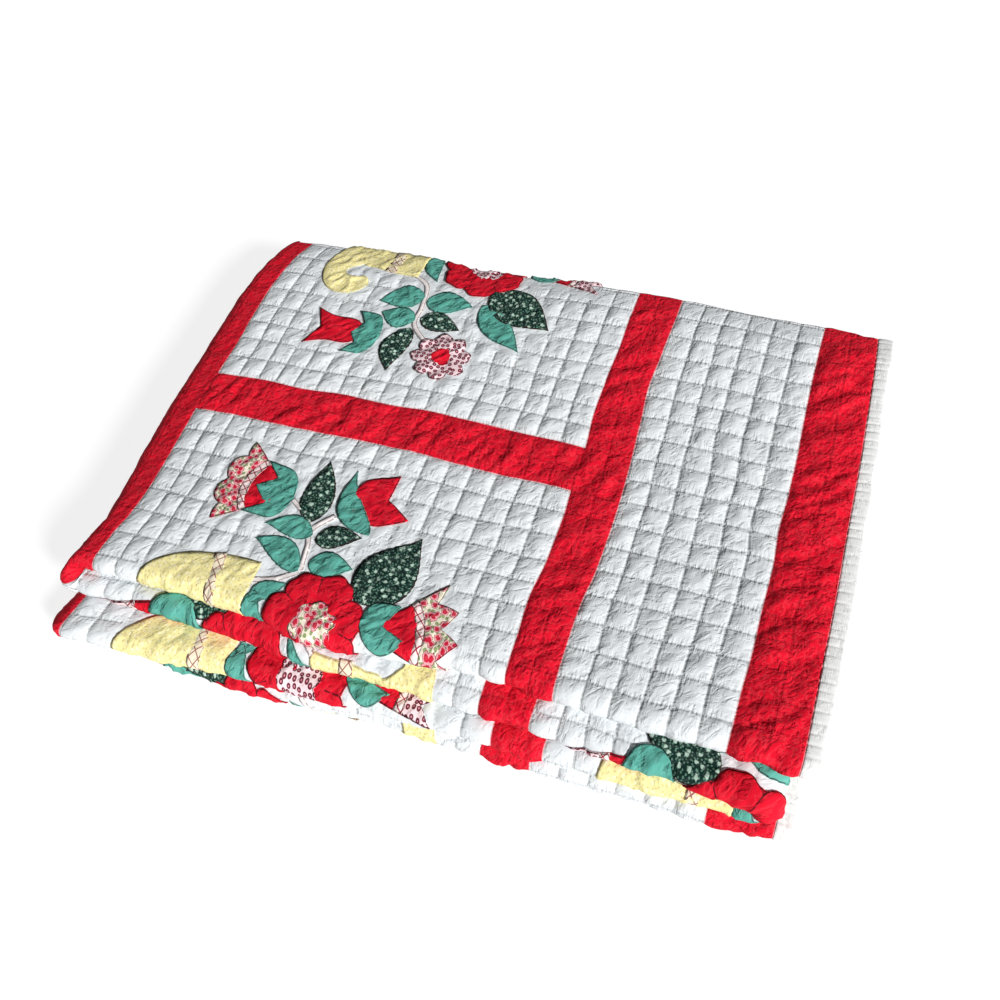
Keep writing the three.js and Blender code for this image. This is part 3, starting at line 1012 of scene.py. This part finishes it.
def cotton_bump(tree, place, height, quilted):
    """Bumps from a height in millimetres, puckers beside the stitches of quilting, and a fine weave."""
    if quilted:
        stitch = add(tree, "Attribute", output="Fac", attribute_name="stitch")
        groove = add(tree, "MapRange", {0: stitch, 1: 0, 2: 2.4 * MM, 4: 0.7 * quilted}, **SOFT)
        height = add(tree, "Math", {0: height, 1: groove}, operation="ADD")
        for name, scale in PUCKERS.items():
            spot = add(tree, "Mapping", {"Vector": place, "Scale": scale})
            pleats = add(tree, "TexNoise", {"Vector": spot, "Scale": 1, "Detail": 1})
            pleats = add(tree, "Math", {0: pleats, 1: 0.5}, operation="SUBTRACT")
            weight = add(tree, "Attribute", output="Fac", attribute_name=name)
            weight = add(tree, "Math", {0: weight, 1: 1.5}, operation="MULTIPLY")
            height = add(tree, "Math", {0: pleats, 1: weight, 2: height}, operation="MULTIPLY_ADD")
    coarse = add(tree, "Bump", {"Height": height, "Strength": 1.0, "Distance": MM})
    threads = {"Vector": place, "Scale": WAVE_REPEATS / WEAVE}
    warp = add(tree, "TexWave", threads, output="Fac", bands_direction="X")
    weft = add(tree, "TexWave", threads, output="Fac", bands_direction="Y")
    weave = add(tree, "Math", {0: warp, 1: weft}, operation="MAXIMUM")
    return add(tree, "Bump", {"Height": weave, "Strength": 0.25, "Distance": 0.25 * MM, "Normal": coarse})


print(f"{10 * MM / WEAVE:.1f} drawn threads in a centimetre")


# %% Stitches on cotton, with painted shade along the quilting and a painted highlight along the seams
def quilting_shade_and_seam_highlight(tree, surface, deep, broken, quilted):
    """Painted shade in broken rows along the quilting, standing for the stitches sunk in their grooves, and a
    painted pale highlight along the seams.
    """
    stitch = add(tree, "Attribute", output="Fac", attribute_name="stitch")
    # Painted shade: the darkened ground in broken rows, about a stitch long, along the quilting lines
    thread = add(tree, "MapRange", {0: broken, 1: 0.3, 2: 0.55, 4: 0.55 * quilted}, **SOFT)
    row = add(tree, "MapRange", {0: stitch, 1: 1.3 * MM, 2: 0.2 * MM, 4: thread}, **SOFT)
    surface = add(tree, "Mix", {0: row, 6: surface, 7: deep}, **COLOURS)
    seam = add(tree, "Attribute", output="Fac", attribute_name="seam")
    # Painted highlight along the seams, broken by noise
    broken_seam_highlight = add(tree, "MapRange", {0: broken, 1: 0.25, 2: 0.5, 4: 0.6}, **SOFT)
    gap = add(tree, "MapRange", {0: seam, 1: 1.0 * MM, 2: 0.2 * MM, 4: broken_seam_highlight}, **SOFT)
    return add(tree, "Mix", {0: gap, 6: surface, 7: SEAM_HIGHLIGHT}, **COLOURS)


def outline_stitches(tree, surface, broken, outline):
    """A broken line of dark thread just inside the edge of a patch."""
    edge = add(tree, "Attribute", output="Fac", attribute_name="edge")
    thread = add(tree, "MapRange", {0: broken, 1: 0.32, 2: 0.46, 4: outline}, **SOFT)
    line = add(tree, "MapRange", {0: edge, 1: 0, 2: 0.4 * MM, 4: thread}, **SOFT)
    line = add(tree, "MapRange", {0: edge, 1: 1.7 * MM, 2: 1.1 * MM, 4: line}, **SOFT)
    return add(tree, "Mix", {0: line, 6: surface, 7: STITCH_DARK}, **COLOURS)


# Stitches of hand sewing are about this long
BROKEN = 3.5 * MM
print(f"stitches about {BROKEN / MM:.1f} mm long")

# %% Washed cotton
CRINKLE = 7.5 * MM


def washed_cotton(name, ground, crinkle=1.0, size=CRINKLE, ridge_highlight=0.1, outline=0.0, quilted=0.0):
    """Cotton with weave and crinkles, with a painted highlight on its crinkle ridges and painted shade in its
    hollows, whose ground is a colour or a function that prints it.
    It is outlined with dark stitches or quilted where that is asked for."""
    material = bpy.data.materials.new(name)
    material.use_nodes = True
    tree = material.node_tree
    # Washed cotton scatters light evenly, so it is very rough and hardly shines, and the default IOR of 1.5
    # is near its own
    shader = tree.nodes["Principled BSDF"].inputs
    shader["Roughness"].default_value = 0.92
    shader["Specular IOR Level"].default_value = 0.12
    place = add(tree, "UVMap", uv_map="flat")
    base = ground(tree, place) if callable(ground) else linear(ground)
    aslant = {"Vector": place, "Rotation": (0, 0, math.radians(45)), "Scale": (1, 1.7, 1)}
    slant = add(tree, "Mapping", aslant, vector_type="TEXTURE")
    creases = {"Vector": slant, "Scale": 1 / size, "Detail": 4, "Roughness": 0.58, "Distortion": 0.4}
    crumple = add(tree, "TexNoise", creases)
    off_ridge = add(tree, "Math", {0: crumple, 1: 0.5}, operation="SUBTRACT")
    off_ridge = add(tree, "Math", {0: off_ridge}, operation="ABSOLUTE")
    broken = add(tree, "TexNoise", {"Vector": place, "Scale": 1 / BROKEN})
    # Painted highlight: the ground paled towards white, laid on the crinkle ridges of the bump
    highlight_tint = add(tree, "Mix", {0: 0.3, 6: base, 7: WHITE}, **COLOURS)
    # Painted shade: the ground darkened towards black, for the crinkle hollows and the grooves of the
    # quilting
    deep = add(tree, "Mix", {0: 0.5, 6: base, 7: BLACK}, **COLOURS)
    highlight_share = add(tree, "MapRange", {0: off_ridge, 1: 0.05, 2: 0, 4: ridge_highlight}, **SOFT)
    surface = add(tree, "Mix", {0: highlight_share, 6: base, 7: highlight_tint}, **COLOURS)
    # Painted shade in the hollows of the crinkles, deeper on more crinkled cloth
    hollow_shade = add(tree, "MapRange", {0: crumple, 1: 0.48, 2: 0.33, 4: 0.25 * crinkle}, **SOFT)
    surface = add(tree, "Mix", {0: hollow_shade, 6: surface, 7: deep}, **COLOURS)
    if quilted:
        surface = quilting_shade_and_seam_highlight(tree, surface, deep, broken, quilted)
    if outline:
        surface = outline_stitches(tree, surface, broken, outline)
    tree.links.new(surface, shader["Base Color"])
    sharp = add(tree, "Math", {0: off_ridge, 1: -1.2 * crinkle}, operation="MULTIPLY")
    height = add(tree, "Math", {0: crumple, 1: 2.2 * crinkle, 2: sharp}, operation="MULTIPLY_ADD")
    tree.links.new(cotton_bump(tree, place, height, quilted), shader["Normal"])
    return material


# Plain white quilting cotton: cool and matt, with painted grey shade in its crinkle hollows and painted shade
# in broken rows along the quilting stitches
white_cotton = washed_cotton("washed_white_cotton", "#E4E8EA", quilted=1.0)
# Strong red cotton: finer crinkles that catch the light, with a painted highlight on their ridges, and a
# painted pale highlight along its seams
red_cotton = washed_cotton("washed_red_cotton", "#E2122C", crinkle=1.4, size=4.2 * MM, ridge_highlight=0.08, quilted=0.6)
# White cotton cut on the bias and folded double: smoother and brighter than the quilt
binding_cotton = washed_cotton("white_binding_cotton", "#F4F4F2", crinkle=0.6)
print([material.name for material in (white_cotton, red_cotton, binding_cotton)])

# %% [markdown]
# ### Prints
#
# Printed cotton has small figures that are scattered evenly. Here they are dots round the points of a
# Voronoi pattern. A ragged edge turns dots into florets and roses, and a smaller dot on a larger one makes a
# ring. Drawn pictures would need image textures, and these patterns stay sharp at any distance.

# %% Scattered prints
# Each print has its dots' spacing in millimetres, how far they are scattered, where they begin and where they
# are full in shares of the spacing, and their colour. The ragged edge has its size, detail and depth.
FLORETS = {
    "ground": "#14302A",
    "ragged": (1.5, 2, 0.4),
    "dots": [(2.9, 0.9, 0.52, 0.4, "#5E8472"), (8, 0.9, 0.46, 0.34, "#B9D3C2")],
}
SPRIGS = {
    "ground": "#F8ECA6",
    "dots": [(3.8, 0.9, 0.3, 0.18, "#E0D094"), (6.5, 0.9, 0.26, 0.14, "#FBF3C4")],
}
PINK_RINGS = {
    "ground": "#F7DADE",
    "dots": [(5.6, 0.5, 0.4, 0.34, "#6B2234"), (5.6, 0.5, 0.16, 0.1, "#D88A97")],
}
GARDEN = {
    "ground": "#F2E8D2",
    "ragged": (3, 1, 0.5),
    "dots": [
        (5, 0.9, 0.59, 0.54, "#8FA06F"),
        (7.5, 0.9, 0.77, 0.72, "#8A3A48"),
        (7.5, 0.9, 0.71, 0.66, "#E9A2A9"),
        (7.5, 0.9, 0.55, 0.5, "#C3233B"),
    ],
}


def scattered(ground, dots, ragged=None):
    """A function that prints scattered dots on a ground colour."""

    def printed(tree, place):
        colour = linear(ground)
        for spacing, scatter, outside, inside, ink in dots:
            points = {"Vector": place, "Scale": 1 / (spacing * MM), "Randomness": scatter}
            far = add(tree, "TexVoronoi", points, output="Distance", voronoi_dimensions="2D")
            if ragged:
                size, detail, depth = ragged
                edge = add(tree, "TexNoise", {"Vector": place, "Scale": 1 / (size * MM), "Detail": detail})
                far = add(tree, "Math", {0: edge, 1: depth, 2: far}, operation="MULTIPLY_ADD")
            share = add(tree, "MapRange", {0: far, 1: outside, 2: inside}, **SOFT)
            colour = add(tree, "Mix", {0: share, 6: colour, 7: linear(ink)}, **COLOURS)
        return colour

    return printed


print([len(row["dots"]) for row in (FLORETS, SPRIGS, PINK_RINGS, GARDEN)], "kinds of dots")

# %% Stitched tapes
CROSS = 5 * MM


def crossed(ground, thread):
    """A function that draws crossed rows of stitches on a ground colour."""

    def stitched(tree, place):
        swings = []
        for axis in (0, 1):
            along = add(tree, "SeparateXYZ", {0: place}, output=axis)
            swings.append(add(tree, "Math", {0: along, 1: CROSS}, operation="PINGPONG"))
        gap = add(tree, "Math", {0: swings[0], 1: swings[1]}, operation="SUBTRACT")
        gap = add(tree, "Math", {0: gap}, operation="ABSOLUTE")
        share = add(tree, "MapRange", {0: gap, 1: 0.9 * MM, 2: 0.5 * MM}, **SOFT)
        return add(tree, "Mix", {0: share, 6: linear(ground), 7: linear(thread)}, **COLOURS)

    return stitched


print(f"a cross stitch every {2 * CROSS / MM:.0f} mm")

# %% Fabrics of the patches
fabrics = {
    # Clear red with a dark stitched outline, the strongest colour of the bouquet
    "red": washed_cotton("red_applique_cotton", "#DC122B", crinkle=2, ridge_highlight=0.05, outline=0.9),
    # Soft blue-green that is creased by washing, with strong painted shade in the hollows of its creases, so
    # it looks mottled
    "teal": washed_cotton("teal_applique_cotton", "#5BA899", crinkle=2.4, outline=0.7),
    # Mint florets of two sizes on deep green: dark leaves that sparkle
    "dark": washed_cotton("deep_green_floret_print", scattered(**FLORETS), crinkle=1.5, outline=0.9),
    # Faint olive dots and white flecks on pale yellow: warm and nearly plain
    "yellow": washed_cotton("pale_yellow_sprig_print", scattered(**SPRIGS), crinkle=0.8, outline=0.4),
    # Maroon rings with a rosy middle on pink-white: busy, but pale from afar
    "pink": washed_cotton("pink_ring_print", scattered(**PINK_RINGS), outline=0.9),
    # Red roses with pink rims and green leaves on cream: the liveliest of the prints
    "garden": washed_cotton("cream_garden_print", scattered(**GARDEN), outline=0.9),
    # Maroon cross stitches on blush white: a thin tape that divides each tulip
    "lace": washed_cotton("cross_stitched_tape", crossed("#F1DDDA", "#9A2337"), outline=0.8),
    # Brown cross stitches on pale yellow: a band round the mouth of the horn
    "trim": washed_cotton("cross_stitched_horn_trim", crossed("#F1E5CB", "#9C6457"), outline=0.5),
    # Narrow white strips with stitched edges: two thin lines on the white ground
    "stem": washed_cotton("white_stem_cotton", "#F3EAE8", crinkle=0.4, outline=0.6),
}
print(len(fabrics), "fabrics for the patches")


# %% Quilt object
def finish_piece(mesh, points, materials):
    """An object at the origin from a mesh that gets its folded points. Nothing lies below the floor."""
    points[:, 2] = np.maximum(points[:, 2], 0)
    mesh.vertices.foreach_set("co", points.astype(np.float32).ravel())
    mesh.polygons.foreach_set("use_smooth", np.ones(len(mesh.polygons), bool))
    mesh.update()
    for material in materials:
        mesh.materials.append(material)
    piece = bpy.data.objects.new(mesh.name, mesh)
    bpy.context.scene.collection.objects.link(piece)
    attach(piece, "root")
    print(piece.name, len(mesh.polygons), "faces")
    return piece


quilt = finish_piece(quilt_mesh, quilt_points, [white_cotton, red_cotton])
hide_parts("quilt")

# %% [markdown]
# ## The patches on the quilt
#
# A patch is a thin cloth of its own. Its rim is turned under and sewn down, so it sinks into the ground and
# rounds up inside. All patches of one fabric are one mesh, and Solidify gives them their thickness. Blocks
# that lie inside the folds get no patches, because nothing of them can be seen.

# %% Patches copied to the blocks
# On some columns of blocks the tulip by the rose was sewn on at another angle, in degrees, and further back
SWUNG = {
    1: {"turn": 25, "right_by": 10, "back_by": -44},
    2: {"turn": 25, "right_by": 15, "back_by": -46},
    4: {"turn": 25, "right_by": 10, "back_by": -42},
}
TULIP_FOOT = (274, 20)
# The first block has the garden print, and the others have the rings
BLOCK_PRINTS = ["garden", "pink"]


def swung(points, turn, right_by, back_by):
    """Points of a patch turned about the foot of the tulip and moved."""
    x, y = TULIP_FOOT
    way = np.exp(1j * math.radians(turn))
    spots = ((points[:, 0] - x) + 1j * (points[:, 1] - y)) * way
    return np.stack([x + spots.real + right_by, y + spots.imag + back_by, points[:, 2]], 1)


piles = {name: bmesh.new() for name in fabrics}
for number, block_u in enumerate(BLOCK_U):
    for row, block_v in enumerate(BLOCK_V):
        right_by, back_by = BOUQUET_AT[row]
        for patch in bouquet:
            moves = patch.swings and number in SWUNG
            points = swung(patch.points, **SWUNG[number]) if moves else patch.points
            flat_u = block_u + BLOCK_WIDE - (points[:, 0] + right_by) * MM
            flat_v = block_v + block_long / 2 + (points[:, 1] + back_by) * MM
            if shown(flat_u, flat_v).max() == 0:
                continue
            fabric = patch.fabric if patch.fabric != "print" else BLOCK_PRINTS[min(number + row, 1)]
            pile = piles[fabric]
            # The level of the patch goes before the decimal point, and its edge distance after it
            heights = points[:, 2] * MM + patch.level
            verts = [pile.verts.new(co) for co in zip(flat_u, flat_v, heights)]
            for face in patch.faces:
                pile.faces.new([verts[i] for i in face])
print({name: len(pile.faces) for name, pile in piles.items()})

# %% Patches laid on the folds
PATCH = 0.4 * MM
LIFT, LEVEL, DOME = 0.15 * MM, 0.4 * MM, 0.25 * MM
RIM_WIDE, WRINKLE = 2 * MM, 1.7 * MM
for name, pile in piles.items():
    mesh, flat = flat_mesh(f"patches_{name}", pile)
    u, v = flat[:, 0], flat[:, 1]
    level = np.floor(flat[:, 2])
    edge = flat[:, 2] - level
    point_attribute(mesh, "edge", edge)
    rise = LIFT + LEVEL * level + DOME * (1 - np.exp(-edge / RIM_WIDE))
    wrinkle = 1 - 2.6 * np.abs(noise(0.7 * (u + v), 0.35 * (v - u), 9 * MM, 21))
    wrinkle = WRINKLE * np.maximum(wrinkle, -0.2) * smooth(edge / (4 * MM))
    points = on_face(u, v, PATCH + (rise + wrinkle) * shown(u, v, FADE))
    piece = finish_piece(mesh, points, [fabrics[name]])
    thick = piece.modifiers.new("cloth", "SOLIDIFY")
    thick.thickness = PATCH
    thick.offset = -1

# %% [markdown]
# ## The binding
#
# The raw edges are bound with a folded strip of white cotton. Its section is a narrow loop that is round at
# the outer edge, swept along the edge of the sheet. It was sewn on tight, so small valleys run across it, one
# to each pleat. A curve with a bevel could sweep the loop, but it would not follow the fold map.

# %% Binding strips
# The loop: how far each point lies in from the edge, in millimetres, and its side in half thicknesses
LOOP = [(12, 0.6), (11.8, 0.95), (11, 1.05), (8, 1.12), (4, 1.1), (0, 1), (-2, 0.8), (-3, 0.4)]
LOOP += [(-3, -0.4), (-2, -0.8), (0, -1), (8, -1), (11.5, -1), (12, -0.8)]
PLEAT, VALLEY_WIDE, VALLEY_DEEP = 9.5 * MM, 1.0 * MM, 1.6 * MM


def binding(name, length, to_sheet, spacing):
    """A bound edge. to_sheet turns distances along it and inwards into places on the sheet."""
    loop = np.array(LOOP + LOOP[:1])
    bm = bmesh.new()
    flat_grid(bm, np.linspace(0, length, int(length / spacing) + 1), np.arange(len(loop)), 0)
    places = np.array([v.co for v in bm.verts])
    along, k = places[:, 0], places[:, 1].round().astype(int)
    inwards, side = loop[k, 0] * MM, loop[k, 1]
    beat = along / PLEAT + 0.5 * noise(along, along, 35 * MM, 31)
    valley = np.exp(-(((beat % 1 - 0.5) * PLEAT / VALLEY_WIDE) ** 2))
    deep = VALLEY_DEEP * valley * (0.7 + 0.6 * noise(along, along, 24 * MM, 33))
    outer_share = 1 - inwards / BINDING
    u, v = to_sheet(along, inwards - 1.2 * MM * noise(along, along, 30 * MM, 32) * outer_share)
    offset = CLOTH / 2 * side + (0.5 * MM - deep * (1 - 0.7 * outer_share)) * shown(u, v, FADE)
    points = fold(*wander(u, v), offset)
    points[:, 2] = np.maximum(points[:, 2], 0)
    for vert, point in zip(bm.verts, points):
        vert.co = point
    bmesh.ops.remove_doubles(bm, verts=bm.verts, dist=1e-6)
    bmesh.ops.holes_fill(bm, edges=[e for e in bm.edges if e.is_boundary], sides=0)
    bmesh.ops.recalc_face_normals(bm, faces=bm.faces)
    # The strip is already folded here, so its UV map holds its places seen from above
    mesh, folded = flat_mesh(name + "_strip", bm)
    piece = finish_piece(mesh, folded, [binding_cotton])
    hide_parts(name)
    return piece


inside = WIDTH - 2 * rim
bindings = [
    binding("binding_upper_end", SECTION, lambda along, inwards: (inwards, along), 1.2 * MM),
    binding("binding_lower_end", SECTION, lambda along, inwards: (WIDTH - inwards, along), 1.2 * MM),
    binding("binding_outer_side", inside, lambda along, inwards: (rim + along, inwards), 2.4 * MM),
    binding("binding_inner_side", inside, lambda along, inwards: (rim + along, SECTION - inwards), 2.4 * MM),
]

# %% [markdown]
# ## Floor, light and camera
#
# The quilt lies on a plain white floor that glows a little, as a well lit backdrop does. A broad light from
# the front and right rakes across the squares and lights the rounded fronts, and a pale sky fills the
# shadows. Area lights could do it too, but a sun with a wide angle lights the whole stack evenly. The camera
# stands where the photograph was taken from: to the right and high, with a little roll.

# %% Floor
FLOOR_HALF = 40
floor_bm = bmesh.new()
bmesh.ops.create_grid(floor_bm, x_segments=1, y_segments=1, size=FLOOR_HALF)
floor_mesh = bpy.data.meshes.new("floor")
floor_bm.to_mesh(floor_mesh)
floor_bm.free()
floor = bpy.data.objects.new("floor", floor_mesh)
floor.location.z = -0.5 * MM
bpy.context.scene.collection.objects.link(floor)
# Backdrop paper: matt, and so brightly lit that only the deepest shadow shows on it
paper = bpy.data.materials.new("white_paper")
paper.use_nodes = True
sockets = paper.node_tree.nodes["Principled BSDF"].inputs
sockets["Base Color"].default_value = linear("#808080")
sockets["Roughness"].default_value = 0.9
sockets["Emission Color"].default_value = WHITE
sockets["Emission Strength"].default_value = 0.84
floor_mesh.materials.append(paper)
print("floor", 2 * FLOOR_HALF, "m wide")

# %% Light
sun = bpy.data.lights.new("window", "SUN")
sun.energy = 4.6
sun.angle = math.radians(9)
window = bpy.data.objects.new("window", sun)
window.rotation_euler = Vector((-0.82, 0.5, -0.55)).to_track_quat("-Z", "Y").to_euler()
bpy.context.scene.collection.objects.link(window)
world = bpy.data.worlds.new("pale_sky")
world.use_nodes = True
sky = world.node_tree.nodes["Background"].inputs
sky["Color"].default_value = linear("#F2F5F8")
sky["Strength"].default_value = 0.1
bpy.context.scene.world = world
bpy.context.scene.view_settings.view_transform = "Standard"
print("light from", [round(math.degrees(angle)) for angle in window.rotation_euler], "degrees")

# %% Camera
AZIMUTH, ELEVATION, ROLL = (math.radians(angle) for angle in (25.12, 53.68, -8.14))
EYE = Vector((0.2836, -0.5614, 0.8708))
level_share = math.cos(ELEVATION)
ahead = Vector((-math.sin(AZIMUTH) * level_share, math.cos(AZIMUTH) * level_share, -math.sin(ELEVATION)))
level_right = Vector((math.cos(AZIMUTH), math.sin(AZIMUTH), 0))
turned = Matrix((level_right, level_right.cross(ahead), -ahead)).transposed()
lens = bpy.data.cameras.new("photo_camera")
lens.sensor_width = 36
lens.lens = 36.94
lens.clip_start = 0.01
camera = bpy.data.objects.new("photo_camera", lens)
camera.matrix_world = Matrix.Translation(EYE) @ (turned @ Matrix.Rotation(ROLL, 3, "Z")).to_4x4()
bpy.context.scene.collection.objects.link(camera)
bpy.context.scene.camera = camera
print(f"camera {EYE.length:.2f} m from the middle of the quilt's underside")
